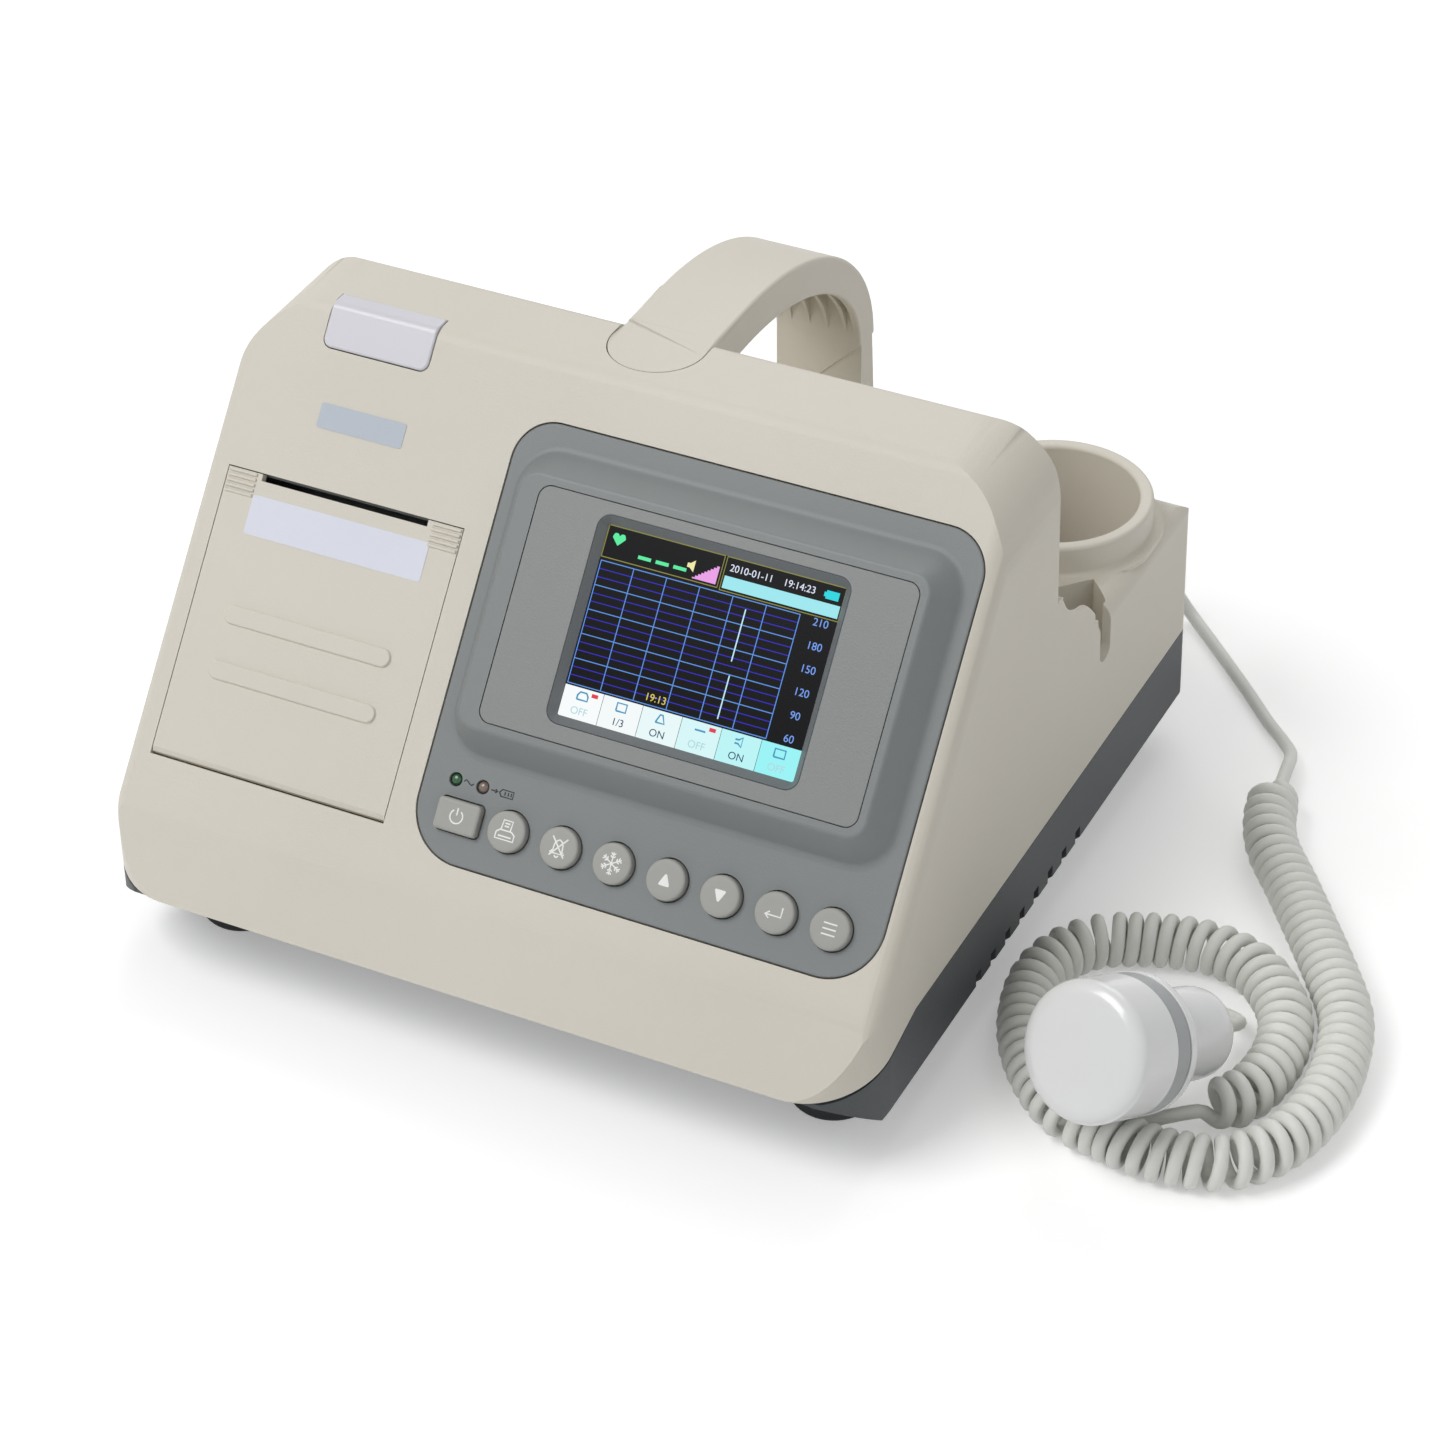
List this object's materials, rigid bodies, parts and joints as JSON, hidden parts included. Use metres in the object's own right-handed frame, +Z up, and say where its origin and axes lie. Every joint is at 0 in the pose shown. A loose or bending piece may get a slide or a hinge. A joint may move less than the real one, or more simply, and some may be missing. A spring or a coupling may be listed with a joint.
{
  "type": "fetal doppler",
  "caption": "Bench-top fetal heart monitor with sloping screen panel, strip printer, carrying handle, probe cup, and a hand probe on a curly cord lying beside it.",
  "frame": {"origin": "on the floor under the middle of the bounding box of the housing and probe, without the cord", "axes": "+Z up, +X to the user's right, -Y towards the user, who faces the panel"},
  "size_m": [0.344, 0.2865, 0.1656],
  "materials": {
    "ivory": "matte",
    "dark_grey": "matte",
    "grey": "satin",
    "plate_grey": "satin",
    "key_grey": "matte",
    "rubber": "matte",
    "clear": "clear",
    "board_green": "matte",
    "steel": "satin",
    "lamp": "gloss",
    "green_lamp": "gloss",
    "amber_lamp": "gloss",
    "probe_white": "gloss",
    "band_grey": "satin",
    "cord": "satin",
    "paper": "matte",
    "cell": "gloss"
  },
  "bodies": {
    "housing": {"upper_shell": "ivory", "handle": "ivory", "base_tray": "dark_grey", "battery_cover": "dark_grey", "mains_inlet": "dark_grey", "lcd_module": "dark_grey", "front_bezel": "grey", "printer_cradle": "grey", "screen_plate": "plate_grey", "foot_front_left": "rubber", "foot_front_right": "rubber", "foot_rear_left": "rubber", "foot_rear_right": "rubber", "screen_window": "clear", "keypad_board": "board_green", "lamp_board": "board_green", "main_board": "board_green", "power_board": "board_green", "screw_front_left": "steel", "screw_front_right": "steel", "screw_rear_left": "steel", "screw_rear_right": "steel", "handle_screw_left": "steel", "handle_screw_right": "steel", "handle_screw_front": "steel", "door_hinge_pin": "steel", "print_head": "steel", "speaker": "steel", "transducer": "steel", "lamp_lens": "lamp", "mains_led": "green_lamp", "battery_led": "amber_lamp", "probe_cap": "probe_white", "probe_body": "probe_white", "probe_relief": "probe_white", "probe_gland": "probe_white", "probe_band": "band_grey", "cord_lead": "cord", "cord_coil": "cord", "cord_tail": "cord", "battery_pack": "cell"},
    "power_key": {"power_key": "key_grey"},
    "print_key": {"print_key": "key_grey"},
    "mute_key": {"mute_key": "key_grey"},
    "freeze_key": {"freeze_key": "key_grey"},
    "up_key": {"up_key": "key_grey"},
    "down_key": {"down_key": "key_grey"},
    "enter_key": {"enter_key": "key_grey"},
    "menu_key": {"menu_key": "key_grey"},
    "printer_door": {"printer_door": "ivory"},
    "platen_roller": {"platen_roller": "rubber"},
    "paper_roll": {"paper_roll": "paper"}
  },
  "joints": [
    {"name": "power_key_press", "type": "slide", "parent": "housing", "child": "power_key", "axis": [0, 0.7782, -0.628], "range_m": [0, 0.0012], "stiffness_N_per_m": 400},
    {"name": "print_key_press", "type": "slide", "parent": "housing", "child": "print_key", "axis": [0, 0.7782, -0.628], "range_m": [0, 0.0012], "stiffness_N_per_m": 400},
    {"name": "mute_key_press", "type": "slide", "parent": "housing", "child": "mute_key", "axis": [0, 0.7782, -0.628], "range_m": [0, 0.0012], "stiffness_N_per_m": 400},
    {"name": "freeze_key_press", "type": "slide", "parent": "housing", "child": "freeze_key", "axis": [0, 0.7782, -0.628], "range_m": [0, 0.0012], "stiffness_N_per_m": 400},
    {"name": "up_key_press", "type": "slide", "parent": "housing", "child": "up_key", "axis": [0, 0.7782, -0.628], "range_m": [0, 0.0012], "stiffness_N_per_m": 400},
    {"name": "down_key_press", "type": "slide", "parent": "housing", "child": "down_key", "axis": [0, 0.7782, -0.628], "range_m": [0, 0.0012], "stiffness_N_per_m": 400},
    {"name": "enter_key_press", "type": "slide", "parent": "housing", "child": "enter_key", "axis": [0, 0.7782, -0.628], "range_m": [0, 0.0012], "stiffness_N_per_m": 400},
    {"name": "menu_key_press", "type": "slide", "parent": "housing", "child": "menu_key", "axis": [0, 0.7782, -0.628], "range_m": [0, 0.0012], "stiffness_N_per_m": 400},
    {"name": "printer_door_hinge", "type": "hinge", "parent": "housing", "child": "printer_door", "pos_m": [-0.10895, -0.09968, 0.06174], "axis": [1, 0, 0], "range_deg": [0, 95]},
    {"name": "platen_roller_spin", "type": "hinge", "parent": "printer_door", "child": "platen_roller", "pos_m": [-0.10895, -0.04829, 0.11587], "axis": [1, 0, 0], "continuous": true},
    {"name": "paper_roll_spin", "type": "hinge", "parent": "housing", "child": "paper_roll", "pos_m": [-0.10895, -0.05683, 0.07663], "axis": [1, 0, 0], "continuous": true}
  ]
}
